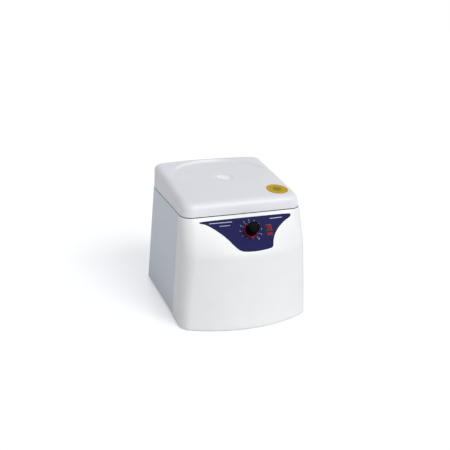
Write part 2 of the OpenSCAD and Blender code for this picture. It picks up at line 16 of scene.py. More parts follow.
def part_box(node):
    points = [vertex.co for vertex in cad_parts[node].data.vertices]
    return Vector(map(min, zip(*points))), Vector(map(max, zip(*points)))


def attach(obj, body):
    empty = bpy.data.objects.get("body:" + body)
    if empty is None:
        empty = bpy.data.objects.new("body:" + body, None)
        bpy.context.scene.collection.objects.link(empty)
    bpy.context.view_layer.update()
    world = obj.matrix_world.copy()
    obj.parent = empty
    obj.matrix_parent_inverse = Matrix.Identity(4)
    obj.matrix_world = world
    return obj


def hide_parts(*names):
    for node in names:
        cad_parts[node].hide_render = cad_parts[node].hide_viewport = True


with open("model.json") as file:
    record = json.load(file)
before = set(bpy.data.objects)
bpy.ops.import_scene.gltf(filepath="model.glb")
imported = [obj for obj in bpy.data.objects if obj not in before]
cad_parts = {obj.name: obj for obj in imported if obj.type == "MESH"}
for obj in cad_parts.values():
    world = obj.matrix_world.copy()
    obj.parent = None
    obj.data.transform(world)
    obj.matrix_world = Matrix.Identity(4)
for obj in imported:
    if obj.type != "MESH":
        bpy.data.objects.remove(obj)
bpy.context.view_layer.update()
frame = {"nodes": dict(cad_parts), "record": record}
MM = 0.001

# %% [markdown]
# Camera
# The photograph was taken from the front left, a little above the lid, with a moderately long lens.
# The place and turn come from matching the lid's and the cabinet's corners to the photograph.

# %% Set the camera
CAMERA_PLACE = Vector((-0.5543, -1.6252, 0.7732))
CAMERA_DOWN = math.radians(18.863)
CAMERA_RIGHT = math.radians(18.827)
CAMERA_ROLL = math.radians(0.406)
camera_data = bpy.data.cameras.new("camera")
camera_data.lens = 59.96
camera_data.sensor_width = 36
camera = bpy.data.objects.new("camera", camera_data)
bpy.context.scene.collection.objects.link(camera)
look = Matrix.Rotation(-CAMERA_RIGHT, 4, "Z") @ Matrix.Rotation(math.pi / 2 - CAMERA_DOWN, 4, "X")
camera.matrix_world = Matrix.Translation(CAMERA_PLACE) @ look @ Matrix.Rotation(CAMERA_ROLL, 4, "Z")
bpy.context.scene.camera = camera
print("camera at", tuple(CAMERA_PLACE))

# %% [markdown]
# Small helpers
# A colour is written as a web hex and turned to the linear values that Blender's sockets expect.
# One helper adds a node and sets its inputs, which keeps each finish readable.

# %% Helpers for colour and nodes
def linear(hex_colour):
    values = [int(hex_colour[i:i + 2], 16) / 255 for i in (1, 3, 5)]
    return tuple(v / 12.92 if v <= 0.04045 else ((v + 0.055) / 1.055) ** 2.4 for v in values) + (1.0,)


def add_node(tree, kind, inputs=None, **settings):
    node = tree.nodes.new(kind)
    for name, value in settings.items():
        setattr(node, name, value)
    for name, value in (inputs or {}).items():
        if isinstance(value, bpy.types.NodeSocket):
            tree.links.new(value, node.inputs[name])
        else:
            node.inputs[name].default_value = value
    return node


def empty_material(name):
    material = bpy.data.materials.new(name)
    material.use_nodes = True
    material.node_tree.nodes.clear()
    return material, material.node_tree


# %% [markdown]
# Finishes
# Moulded plastic is never one flat colour: it has a faint cloud in its colour, a fine grain that breaks up
# the reflection, and a little unevenness in its gloss. One function makes this surface for every plastic,
# metal and rubber here, with the grain's size in millimetres. `streak` stretches the grain along one axis,
# which turns it into the lines of a brushed or spun metal.

# %% One function for a grained finish
CLOUD_MM = 1000 / 22
GLOSS_SWING = 0.06


def grained(name, colour, rough, grain_mm, bump, cloud=0.03, metal=0.0, coat=0.0, streak=(1, 1, 1),
            specular=0.5):
    material, tree = empty_material(name)
    place = add_node(tree, "ShaderNodeTexCoord")
    lay = add_node(tree, "ShaderNodeMapping", {"Vector": place.outputs["Object"], "Scale": streak})
    grain = add_node(tree, "ShaderNodeTexNoise", {
        "Vector": lay.outputs["Vector"], "Scale": 1000 / grain_mm, "Detail": 3.0, "Roughness": 0.6})
    clouds = add_node(tree, "ShaderNodeTexNoise", {
        "Vector": lay.outputs["Vector"], "Scale": 1000 / CLOUD_MM, "Detail": 2.0})
    base = linear(colour)
    dark = tuple(c * (1 - cloud) for c in base[:3]) + (1.0,)
    light = tuple(min(1.0, c * (1 + cloud)) for c in base[:3]) + (1.0,)
    tint = add_node(tree, "ShaderNodeMix", {"Factor": clouds.outputs["Fac"]}, data_type="RGBA")
    tint.inputs[6].default_value = dark
    tint.inputs[7].default_value = light
    gloss = add_node(tree, "ShaderNodeMapRange", {
        "Value": grain.outputs["Fac"], "To Min": rough - GLOSS_SWING, "To Max": rough + GLOSS_SWING})
    relief = add_node(tree, "ShaderNodeBump", {
        "Height": grain.outputs["Fac"], "Strength": bump, "Distance": grain_mm * 0.0002})
    shader = add_node(tree, "ShaderNodeBsdfPrincipled", {
        "Base Color": tint.outputs[2], "Roughness": gloss.outputs["Result"],
        "Normal": relief.outputs["Normal"], "Metallic": metal, "Coat Weight": coat,
        "Specular IOR Level": specular})
    add_node(tree, "ShaderNodeOutputMaterial", {"Surface": shader.outputs["BSDF"]})
    return material


# %% The finishes, by what they are on the real object
FINISHES = {
    # Moulded cabinet plastic: soft broad highlights over a faint grain. The housing, which makes the sides
    # and the back, is given a cooler, darker grey than the front cover: painted shade for the side that the
    # light leaves dim.
    "housing_plastic": grained("moulded plastic, grey with painted side shade", "#DADFE6", 0.42, 0.9, 0.25),
    "cover_plastic": grained("moulded plastic, warm white front", "#EFEFEE", 0.36, 0.9, 0.18),
    "lid_plastic": grained("moulded plastic, lid", "#E9E9ED", 0.40, 0.9, 0.22),
    # Screen-printed polyester film: deep even navy with almost no shine.
    "overlay_film": grained("printed film, navy", "#16184F", 0.46, 0.5, 0.15, cloud=0.06, specular=0.08),
    # Spun and machined metal: the grain is stretched into fine turning or milling lines.
    "bowl_steel": grained("spun stainless steel", "#C6C9CD", 0.28, 0.6, 0.25, metal=1.0, streak=(1, 1, 14)),
    "screw_steel": grained("turned steel", "#B9BBBE", 0.30, 0.3, 0.2, metal=1.0, streak=(1, 12, 1)),
    "rotor_alloy": grained("machined aluminium", "#A7AAAF", 0.33, 0.4, 0.3, metal=1.0, streak=(10, 1, 1)),
    "carrier_alloy": grained("anodised aluminium sheet", "#B0B3B8", 0.40, 0.35, 0.25, metal=1.0),
    # Powder coat hides the metal under it, so the sheet reads as a dull grey paint.
    "chassis_metal": grained("coated sheet steel, grey", "#A2A5AA", 0.48, 0.5, 0.3, cloud=0.05),
    # Rubber takes hardly any highlight and is never quite even.
    "seal_rubber": grained("moulded rubber, black", "#232325", 0.72, 0.7, 0.5, cloud=0.12),
    "feet_rubber": grained("moulded rubber, feet", "#1C1C1E", 0.78, 0.7, 0.5, cloud=0.12),
    # Parts seen through the vents: windings with a wound grain, and a green board.
    "winding_copper": grained("enamelled copper wire", "#8A4E26", 0.35, 0.8, 0.6, metal=0.8,
                              streak=(1, 1, 8)),
    "circuit_board": grained("circuit board, green", "#1F6B3A", 0.40, 1.2, 0.3, cloud=0.15),
    # Small plastic parts: the black ones stay matt, so that the white room doesn't turn them grey.
    "black_plastic": grained("moulded plastic, black", "#1A1A1C", 0.42, 0.5, 0.3, cloud=0.10),
    "knob_plastic": grained("satin black knob plastic", "#050505", 0.46, 0.4, 0.12, cloud=0.10,
                            specular=0.04),
    "red_plastic": grained("moulded plastic, red", "#BE0F1C", 0.40, 0.4, 0.12, cloud=0.06, specular=0.08),
    "key_red": grained("moulded plastic, deep red key", "#84090E", 0.40, 0.4, 0.12, cloud=0.06,
                       specular=0.08),
    "lens_red": grained("dark red lamp window", "#860F16", 0.34, 0.4, 0.08, cloud=0.06, specular=0.10),
    # Milky plastic: nearly white, smooth, with a thin gloss.
    "port_clear": grained("milky clear plastic", "#FAFBFC", 0.22, 0.6, 0.02, cloud=0.01, coat=0.3),
    "label_yellow": grained("printed vinyl, yellow", "#DDB010", 0.34, 0.5, 0.1, cloud=0.05),
}
for node_name, node in frame["nodes"].items():
    slot = next(s["material_slot"] for s in frame["record"]["subparts"] if s["node"] == node_name)
    for index in range(len(node.material_slots)):
        node.material_slots[index].material = FINISHES[slot]
    if not node.material_slots:
        node.data.materials.append(FINISHES[slot])
print("finishes:", len(FINISHES))

# %% [markdown]
# The plan outline
# Seen from above, lid and cabinet share one outline: a rounded rectangle whose front and back edges bulge
# out as shallow arches. Every level of every skin is this outline with other sizes, so it is one function
# that returns the same number of points each time.

# %% Sizes and the outline function
SEAM_Z = 257.0
SEAM_W = 284.0
SEAM_D = 280.0
FOOT_W = 306.0
BACK_LEAN = 42.0
BACK_BULGE = 12.0
HEM_Z = 4.0
RIM_Z = SEAM_Z - 1.2
CORNER_R = 28.0
BACK_R = 16.0
WALL = 3.0
SKIN = WALL - 0.1
PROUD = 1.6
CREASE_Z = 180.0
SEAM_OUT, CREASE_OUT, FOOT_OUT = 2, 23, 20
CREASE_BULGE, FOOT_BULGE = 37, 43
SEAM_FRONT = (FOOT_OUT + FOOT_BULGE - SEAM_D - BACK_LEAN * (1 - HEM_Z / SEAM_Z)) / 2
SEAM_MID = SEAM_FRONT + SEAM_D / 2
AXIS_Y = SEAM_MID + 5.5
EDGE_N, SIDE_N, ARC_N = 44, 26, 14


def plan(half, y_front, y_back, front_r, back_r):
    points = []

    def straight(a, b, count):
        for i in range(count):
            points.append((a[0] + (b[0] - a[0]) * i / count, a[1] + (b[1] - a[1]) * i / count))

    def corner(cx, cy, radius, start):
        for i in range(ARC_N):
            angle = math.radians(start + 90 * i / ARC_N)
            points.append((cx + radius * math.cos(angle), cy + radius * math.sin(angle)))

    straight((-half + front_r, y_front), (half - front_r, y_front), EDGE_N)
    corner(half - front_r, y_front + front_r, front_r, -90)
    straight((half, y_front + front_r), (half, y_back - back_r), SIDE_N)
    corner(half - back_r, y_back - back_r, back_r, 0)
    straight((half - back_r, y_back), (-half + back_r, y_back), EDGE_N)
    corner(-half + back_r, y_back - back_r, back_r, 90)
    straight((-half, y_back - back_r), (-half, y_front + front_r), SIDE_N)
    corner(-half + front_r, y_front + front_r, front_r, 180)
    return points


def arched(points, half, front, back):
    def push(x, y):
        return (-front if y < SEAM_MID else back) * (1 - min(1, abs(x) / half) ** 2)

    return [(x, y + push(x, y)) for x, y in points]


def mix(a, b, t):
    return a + (b - a) * t


def smooth_step(t):
    t = max(0.0, min(1.0, t))
    return t * t * (3 - 2 * t)


print("outline points:", len(plan(SEAM_W / 2, SEAM_FRONT, SEAM_FRONT + SEAM_D, CORNER_R, BACK_R)))

# %% [markdown]
# Sheets that wrap round
# A skin starts as a flat grid, as a label starts flat before it goes round a jar. Each column of the grid
# goes to one point of the outline and each row to one level, and the last column meets the first and is
# merged with it. After that the sheet gets its wall with Solidify and its soft rim with Bevel.

# %% Helpers that select, wrap, thicken and finish
def only(piece):
    bpy.ops.object.select_all(action="DESELECT")
    piece.select_set(True)
    bpy.context.view_layer.objects.active = piece


def in_edit(piece, *steps):
    only(piece)
    bpy.ops.object.mode_set(mode="EDIT")
    bpy.ops.mesh.select_all(action="SELECT")
    for step in steps:
        step()
    bpy.ops.object.mode_set(mode="OBJECT")


def wrapped(name, rings, closed=True):
    bpy.ops.object.select_all(action="DESELECT")
    columns = len(rings[0]) if closed else len(rings[0]) - 1
    bpy.ops.mesh.primitive_grid_add(x_subdivisions=columns, y_subdivisions=len(rings) - 1, size=2)
    sheet = bpy.context.object
    sheet.name = name
    for vertex in sheet.data.vertices:
        i = round((vertex.co.x + 1) / 2 * columns) % len(rings[0])
        j = round((vertex.co.y + 1) / 2 * (len(rings) - 1))
        vertex.co = Vector(rings[j][i]) * MM
    in_edit(sheet, lambda: bpy.ops.mesh.remove_doubles(threshold=0.00002),
            lambda: bpy.ops.mesh.normals_make_consistent(inside=False))
    return sheet


def apply(piece, kind, **settings):
    only(piece)
    modifier = piece.modifiers.new(kind.lower(), kind)
    for name, value in settings.items():
        setattr(modifier, name, value)
    bpy.ops.object.modifier_apply(modifier=modifier.name)


def cut(piece, cutter, operation="DIFFERENCE"):
    apply(piece, "BOOLEAN", operation=operation, object=cutter, solver="EXACT")
    bpy.data.objects.remove(cutter)


def finish(piece, slot, body, *stands_for, smooth=35, look=None):
    only(piece)
    bpy.ops.object.transform_apply(location=True, rotation=True, scale=True)
    bpy.ops.object.shade_smooth_by_angle(angle=math.radians(smooth))
    piece.data.materials.clear()
    piece.data.materials.append(FINISHES[look or slot])
    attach(piece, body)
    if stands_for:
        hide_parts(*stands_for)
    print(piece.name, len(piece.data.polygons), "faces")


def soft_box(name, low, high, bevel, segments=3, matrix=None):
    bpy.ops.object.select_all(action="DESELECT")
    centre = [(a + b) / 2 * MM for a, b in zip(low, high)]
    bpy.ops.mesh.primitive_cube_add(size=1, location=centre)
    block = bpy.context.object
    block.name = name
    block.scale = [(b - a) * MM for a, b in zip(low, high)]
    bpy.ops.object.transform_apply(location=True, rotation=True, scale=True)
    if bevel:
        in_edit(block, lambda: bpy.ops.mesh.bevel(offset=bevel * MM, segments=segments, affect="EDGES"))
    if matrix:
        block.data.transform(matrix)
    return block


# %% [markdown]
# Cabinet skins
# The cabinet is two mouldings. The front cover leans back above a soft crease and bulges below it; the main
# housing makes the two sides and the back, which leans out towards the bench. Both use the same outline
# with a few level rules, and both are cut from the whole wrap by the slanting joint between them.

# %% Level rules of the cabinet
def half_width(z):
    return SEAM_W / 2 + (FOOT_W - SEAM_W) / 2 * (1 - z / SEAM_Z)


def softened(upper, lower, z, reach=9.0):
    gap = z - CREASE_Z
    if gap >= reach:
        return upper(z)
    if gap <= -reach:
        return lower(z)
    t = (gap + reach) / (2 * reach)
    a, b = lower(CREASE_Z - reach), upper(CREASE_Z + reach)
    slope_a = (lower(CREASE_Z - reach) - lower(CREASE_Z - reach - 1)) * 2 * reach
    slope_b = (upper(CREASE_Z + reach + 1) - upper(CREASE_Z + reach)) * 2 * reach
    return (a * (2 * t ** 3 - 3 * t ** 2 + 1) + slope_a * (t ** 3 - 2 * t ** 2 + t)
            + b * (3 * t ** 2 - 2 * t ** 3) + slope_b * (t ** 3 - t ** 2))


def share(z):
    return (RIM_Z - z) / (RIM_Z - CREASE_Z)


def reach_out(z):
    return softened(lambda h: mix(SEAM_OUT, CREASE_OUT, share(h)),
                    lambda h: mix(FOOT_OUT, CREASE_OUT, h / CREASE_Z), z)


def bulge(z):
    return softened(lambda h: CREASE_BULGE * share(h),
                    lambda h: mix(FOOT_BULGE, CREASE_BULGE, h / CREASE_Z), z)


def body_ring(z, proud, tighter=0.0):
    half = half_width(z) + proud
    front_r = CORNER_R - tighter * smooth_step(1 - z / SEAM_Z)
    back = SEAM_FRONT + SEAM_D + BACK_LEAN * (1 - z / SEAM_Z)
    points = plan(half, SEAM_FRONT - reach_out(z), back, front_r, BACK_R)
    flat = arched(points, half, bulge(z), BACK_BULGE * z / SEAM_Z)
    return [(x, y, z) for x, y in flat]


def face_y(x, z):
    return SEAM_FRONT - reach_out(z) - bulge(z) * (1 - (x / (half_width(z) + PROUD)) ** 2)


JOINT_FOOT = 59
JOINT_LOW = Vector((0, SEAM_FRONT + JOINT_FOOT, -20)) * MM
JOINT_ALONG = Vector((0, -30, 290)).normalized()
JOINT_NORMAL = Vector((0, JOINT_ALONG.z, -JOINT_ALONG.y))


def keep_side(piece, shift, front):
    point = JOINT_LOW + Vector((0, shift * MM, 0))
    in_edit(piece, lambda: bpy.ops.mesh.bisect(
        plane_co=point, plane_no=JOINT_NORMAL, clear_outer=front, clear_inner=not front))


print("crease reaches out", round(reach_out(CREASE_Z), 1), "mm")

# %% The front cover
cover_levels = [2, 14, 40, 70, 100, 130, 150, 160, *range(166, 196, 3),
                200, 208, 216, 224, 232, 240, 247, 252, RIM_Z]
cover = wrapped("front_cover_skin", [body_ring(z, PROUD, tighter=9.0) for z in cover_levels])
keep_side(cover, 0, True)
apply(cover, "SOLIDIFY", thickness=SKIN * MM, offset=-1, use_even_offset=True)
apply(cover, "BEVEL", width=0.9 * MM, segments=3, limit_method="ANGLE", angle_limit=math.radians(55))


# %% [markdown]
# A frame on the control face
# The knob, the key and the lamp window stand square to the sloping face. A small matrix holds the turn and
# the place of a point on the face, with its third axis pointing out of it.

# %% Places on the control face
def on_face(x, z):
    slope_z = (face_y(x, z + 1) - face_y(x, z - 1)) / 2
    slope_x = (face_y(x + 1, z) - face_y(x - 1, z)) / 2
    tip = math.pi / 2 - math.atan(slope_z / math.sqrt(1 + slope_x ** 2))
    turn = Euler((tip, 0, math.atan(slope_x)), "XYZ").to_matrix().to_4x4()
    return Matrix.Translation(Vector((x, face_y(x, z), z)) * MM) @ turn


KNOB_X, KNOB_Z = 7.5, 223.5
KNOB = on_face(KNOB_X, KNOB_Z)
KEY_X, KEY_Z, LAMP_Z = 51, 225, 213
KEY = on_face(KEY_X, KEY_Z)
LAMP = on_face(KEY_X, LAMP_Z)


def face_holes(piece):
    cut(piece, soft_box("hole", (-3.9, -3.9, -12), (3.9, 3.9, 12), 0, matrix=KNOB))
    cut(piece, soft_box("hole", (-7.1, -7.1, -12), (7.1, 7.1, 12), 0, matrix=KEY))
    cut(piece, soft_box("hole", (-7.2, -3.7, -12), (7.2, 3.7, 12), 0, matrix=LAMP))


face_holes(cover)
finish(cover, "cover_plastic", "base", "front_cover")

# %% The main housing
# The levels lie close together where the rear opening has its corners, so its cut faces stay small.
housing_levels = [HEM_Z, 14, 21, 24, 27, 50, 90, 116, 119, 122, 130, 170, 210, 240, 250, RIM_Z]
housing = wrapped("main_housing_skin", [body_ring(z, 0) for z in housing_levels])
keep_side(housing, 0.4, False)
apply(housing, "SOLIDIFY", thickness=SKIN * MM, offset=-1, use_even_offset=True)
REAR_HALF_W, REAR_HALF_H, REAR_Z, SNUG = 95, 48, 72, 0.3
REAR_Y = SEAM_FRONT + SEAM_D + BACK_LEAN * (1 - REAR_Z / SEAM_Z) + BACK_BULGE * REAR_Z / SEAM_Z + 0.4
REAR = (Matrix.Translation(Vector((0, REAR_Y, REAR_Z)) * MM)
        @ Matrix.Rotation(math.atan(BACK_LEAN / SEAM_Z), 4, "X"))
cut(housing, soft_box("hole", (-REAR_HALF_W - SNUG, -40, -REAR_HALF_H - SNUG),
                      (REAR_HALF_W + SNUG, 20, REAR_HALF_H + SNUG), 0, matrix=REAR))
HINGE_Y = SEAM_FRONT + SEAM_D + BACK_BULGE + 3
HINGE_X, NOTCH_HALF = 75, 15
NOTCHES = [(side * HINGE_X - NOTCH_HALF, side * HINGE_X + NOTCH_HALF) for side in (-1, 1)]
for left, right in NOTCHES:
    cut(housing, soft_box("notch", (left, HINGE_Y - 30, 250.6), (right, HINGE_Y + 10, 270), 0))
apply(housing, "BEVEL", width=1.2 * MM, segments=3, limit_method="ANGLE", angle_limit=math.radians(55))
finish(housing, "housing_plastic", "base", "main_housing")

# %% [markdown]
# The rear panel
# The back carries one folded steel panel: a flat face with turned-in edges, openings for the inlet, the
# rocker switch and the fuse, and a row of vent slots. The folds close the gap that a flat panel leaves
# against the bulged back wall. It is a box made hollow, then cut by one block for each opening.

# %% Fold and pierce the panel
FOLD_W, FOLD_H = REAR_HALF_W + 0.1, REAR_HALF_H + 0.1
SHEET = 2
panel = soft_box("rear_panel_skin", (-FOLD_W, -13, -FOLD_H), (FOLD_W, -1, FOLD_H), 0.8, matrix=REAR)
cut(panel, soft_box("hollow", (-FOLD_W + SHEET, -20, -FOLD_H + SHEET),
                    (FOLD_W - SHEET, -1 - SHEET, FOLD_H - SHEET), 0, matrix=REAR))
VENTS, VENT_PITCH, VENT_W, VENT_X = 9, 9, 4, -80
inlet_opening = ((47.8, -30, -24.2), (76.2, 10, -3.8))
rocker_opening = ((23.8, -30, -26.2), (44.2, 10, 2.2))
vent_lefts = [VENT_X + VENT_PITCH * i for i in range(VENTS)]
vent_slots = [((left, -30, -30), (left + VENT_W, 10, 30)) for left in vent_lefts]
for low, high in (inlet_opening, rocker_opening, *vent_slots):
    cut(panel, soft_box("opening", low, high, 0, matrix=REAR))
FUSE_X, FUSE_Z, FUSE_R = 62, 18, 8.2
bpy.ops.object.select_all(action="DESELECT")
bpy.ops.mesh.primitive_cylinder_add(
    vertices=64, radius=FUSE_R * MM, depth=40 * MM, rotation=(math.pi / 2, 0, 0))
bpy.ops.object.transform_apply(location=True, rotation=True, scale=True)
fuse_hole = bpy.context.object
fuse_hole.data.transform(REAR @ Matrix.Translation(Vector((FUSE_X, 0, FUSE_Z)) * MM))
cut(panel, fuse_hole)
finish(panel, "chassis_metal", "base", "rear_panel", smooth=30)

# %% [markdown]
# The lid
# The lid is one moulding, thicker at the back. Its skin goes up the sides, over a rounded edge and in over
# the top to the sight port. The top carries a round flat that sinks below the crown towards the back, which
# leaves the crescent step seen in the photograph, and a soft dimple round the port.

# %% Rings of the lid
LID_FRONT_H = 31.0
LID_RISE = 31.0
EDGE_R = 14.0
FLAT_R = 127.0
FLAT_DEPTH = 4.0
CROWN_H = 7.2
FLAT_SLOPE = 0.045
PORT_R = 17.0
DIMPLE_R = 27.0
DIMPLE_DEPTH = 1.6
LID_SIDE_IN = 1.2


def lid_top(y):
    return SEAM_Z + LID_FRONT_H - 3 + LID_RISE * (y - SEAM_FRONT) / SEAM_D


def lid_crown(x, y):
    return max(0.0, CROWN_H * (1 - (x / SEAM_W * 2) ** 2) * (1 - ((y - SEAM_MID) / SEAM_D * 2) ** 2))


def lid_height(x, y):
    crowned = lid_top(y) + lid_crown(x, y)
    flat = lid_top(AXIS_Y) + 6.9 - FLAT_DEPTH + FLAT_SLOPE * (y - AXIS_Y)
    distance = math.hypot(x, y - AXIS_Y)
    inside = smooth_step((FLAT_R - distance) / 4.5)
    drop = crowned - flat
    drop = 0.5 * (drop + math.sqrt(drop * drop + 0.5))
    dimple = DIMPLE_DEPTH * smooth_step((DIMPLE_R - distance) / 9)
    return crowned - inside * drop - dimple


def lid_outline(inset):
    front_r = max(8, CORNER_R - 2 - inset * 0.4)
    back_r = max(6, BACK_R - inset * 0.4)
    outline = plan(SEAM_W / 2 - inset, SEAM_FRONT + inset, SEAM_FRONT + SEAM_D - inset, front_r, back_r)
    slimmer = 1 - LID_SIDE_IN / (SEAM_W / 2)
    return [(x * slimmer, y) for x, y in arched(outline, SEAM_W / 2, 1, BACK_BULGE)]


lid_rings = [[(x, y, SEAM_Z) for x, y in lid_outline(0)]]
for step in range(9):
    bend = math.radians(90 * step / 8)
    inset = 1.5 + EDGE_R * (1 - math.cos(bend))
    down = EDGE_R * (1 - math.sin(bend))
    lid_rings.append([(x, y, lid_height(x, y) - down) for x, y in lid_outline(inset)])
inner = lid_outline(1.5 + EDGE_R)
TOP_ROWS = 64
for row in range(1, TOP_ROWS + 1):
    t = row / TOP_ROWS
    ring = []
    for x, y in inner:
        across = Vector((x, y - AXIS_Y))
        spot = across.lerp(across.normalized() * (PORT_R + 0.4), t)
        ring.append((spot.x, AXIS_Y + spot.y, lid_height(spot.x, AXIS_Y + spot.y)))
    lid_rings.append(ring)
lid = wrapped("lid_skin", lid_rings)
apply(lid, "SOLIDIFY", thickness=SKIN * MM, offset=-1, use_even_offset=True)
for left, right in NOTCHES:
    cut(lid, soft_box("notch", (left, HINGE_Y - 30, 248), (right, HINGE_Y + 30, 267), 0))
apply(lid, "BEVEL", width=0.7 * MM, segments=3, limit_method="ANGLE", angle_limit=math.radians(60))
finish(lid, "lid_plastic", "lid", "lid_shell", smooth=30)

# %% [markdown]
# The sight port
# A milky window in the lid lets the rotor be seen. It is a turned cup: a flange under the lid, a short wall
# and a top that dips gently to the middle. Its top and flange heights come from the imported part.

# %% Turn the sight port
def turned(name, profile, matrix, steps=144):
    turns = [2 * math.pi * i / steps for i in range(steps)]
    piece = wrapped(name, [[(radius * math.cos(a), radius * math.sin(a), height) for a in turns]
                           for radius, height in profile])
    piece.data.transform(matrix)
    return piece


port_low, port_high = [corner[2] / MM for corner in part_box("sight_port")]
port_rim = port_high - 0.2
port_profile = [(0.02, port_rim - 5), (13.6, port_rim - 4.1), (14.0, port_rim - 4.4), (14.0, port_low),
                (20.8, port_low), (21.0, port_low + 0.3), (21.0, port_low + 1.6), (20.7, port_low + 1.9),
                (PORT_R, port_low + 1.9), (PORT_R, port_rim - 0.3), (16.8, port_rim + 0.1),
                (16.2, port_rim + 0.2), (14.8, port_rim), (11.0, port_rim - 0.8), (6.0, port_rim - 1.3),
                (0.02, port_rim - 1.5)]
port = turned("sight_window", port_profile, Matrix.Translation(Vector((0, AXIS_Y, 0)) * MM))
finish(port, "port_clear", "lid", "sight_port", smooth=40)

# %% [markdown]
# The control overlay
# The overlay is a thin printed film that follows the sloping face. A fine sheet is laid on the face, given
# its thickness, and trimmed by a tall prism whose section is the film's curved outline.

# %% Lay the film on the face
def rounded_path(corners, passes=3):
    for _ in range(passes):
        corners = [p for a, b in zip(corners, corners[1:] + corners[:1])
                   for p in ((a[0] * 0.75 + b[0] * 0.25, a[1] * 0.75 + b[1] * 0.25),
                             (a[0] * 0.25 + b[0] * 0.75, a[1] * 0.25 + b[1] * 0.75))]
    return corners


def face_sheet(name, lift, thickness):
    heights = [182 + 1.4 * i for i in range(51)]
    places = [-110 + 2.25 * i for i in range(100)]
    rings = [[(x, face_y(x, z) - lift, z) for x in places] for z in heights if z < RIM_Z - 1]
    sheet = wrapped(name, rings, closed=False)
    if sheet.data.polygons[0].normal.y > 0:
        in_edit(sheet, lambda: bpy.ops.mesh.flip_normals())
    apply(sheet, "SOLIDIFY", thickness=thickness * MM, offset=-1)
    return sheet


def prism(name, outline):
    bpy.ops.object.select_all(action="DESELECT")
    bpy.ops.mesh.primitive_circle_add(vertices=len(outline), fill_type="NGON", radius=1)
    shape = bpy.context.object
    shape.name = name
    for vertex, (x, z) in zip(shape.data.vertices, outline):
        vertex.co = Vector((x, -260, z)) * MM
    in_edit(shape,
            lambda: bpy.ops.mesh.extrude_region_move(TRANSFORM_OT_translate={"value": (0, 0.26, 0)}),
            lambda: bpy.ops.mesh.select_all(action="SELECT"),
            lambda: bpy.ops.mesh.normals_make_consistent(inside=False))
    return shape


FILM = [(-105.5, 249), (-106.5, 245), (-95, 243), (-84, 237.5), (-70, 228.5), (-57, 218.8), (-45.5, 208),
        (-36, 197), (-24, 187.2), (-6, 185.4), (12, 184.8), (31, 185.4), (50, 187), (54, 190.5), (56.5, 200),
        (62.5, 211), (75.5, 223.6), (93.5, 234.6), (108.5, 240.8), (111.5, 245.5), (108, 249)]
film = face_sheet("control_film", 0.62, 0.5)
cut(film, prism("film_outline", rounded_path(FILM)), "INTERSECT")
face_holes(film)
finish(film, "overlay_film", "base", "control_overlay")

# %% [markdown]
# Printing on the film
# The scale round the knob is screen printed: fine white ticks, plain numbers, and dark red ticks for the
# low end of the scale. Each is a slim prism that trims a second sheet, a tenth of a millimetre proud.

# %% Print the scale
FACE_TILT = math.cos(math.atan(0.765))


def scale_place(angle, radius):
    return KNOB_X + radius * math.cos(angle), KNOB_Z + radius * math.sin(angle) * FACE_TILT


def tick(angle, near, far, width):
    across = Vector((-math.sin(angle), math.cos(angle))) * width / 2
    corners = []
    for radius, side in ((near, -1), (far, -1), (far, 1), (near, 1)):
        x, z = scale_place(angle, radius)
        corners.append((x + side * across.x, z + side * across.y * FACE_TILT))
    return prism("tick", corners)


def number(text, angle, radius, size):
    bpy.ops.object.select_all(action="DESELECT")
    bpy.ops.object.text_add()
    label = bpy.context.object
    label.data.body = text
    label.data.align_x = "CENTER"
    label.data.align_y = "CENTER"
    label.data.size = size * MM
    label.data.extrude = 0.13
    bpy.ops.object.convert(target="MESH")
    label = bpy.context.object
    x, z = scale_place(angle, radius)
    stand = Matrix.Translation(Vector((x, -130, z)) * MM) @ Matrix.Diagonal((1, 1, FACE_TILT, 1))
    label.data.transform(stand @ Matrix.Rotation(math.pi / 2, 4, "X"))
    in_edit(label, lambda: bpy.ops.mesh.remove_doubles(threshold=0.00001),
            lambda: bpy.ops.mesh.normals_make_consistent(inside=False))
    return label


def joined(pieces, name):
    bpy.ops.object.select_all(action="DESELECT")
    for piece in pieces:
        piece.select_set(True)
    bpy.context.view_layer.objects.active = pieces[0]
    bpy.ops.object.join()
    pieces[0].name = name
    return pieces[0]


FINISHES["print_white"] = grained("screen print, white", "#C9CBE0", 0.45, 0.3, 0.05)
FINISHES["print_red"] = grained("screen print, dark red", "#8E1A22", 0.45, 0.3, 0.05)
scale_angles = [math.radians(235 - 29 * i) for i in range(11)]
white = [tick(a, 18.6, 21.4, 0.7) for a in scale_angles[3:]]
white += [number(str(i), a, 25.4, 4.6) for i, a in enumerate(scale_angles) if i > 0]
white += [prism("rule", [(x0, z), (x1, z), (x1, z + h), (x0, z + h)])
          for x0, x1, z, h in ((-84, -32, 242.6, 1.1), (-62, -38, 236.4, 0.8), (58, 88, 241.6, 1.2))]
red = [tick(a, 18.2, 21.8, 0.8) for a in scale_angles[:3]]
for shapes, look in ((white, "print_white"), (red, "print_red")):
    ink = face_sheet(look + "_ink", 0.72, 0.09)
    cut(ink, joined(shapes, "ink_shapes"), "INTERSECT")
    finish(ink, "overlay_film", "base", look=look)
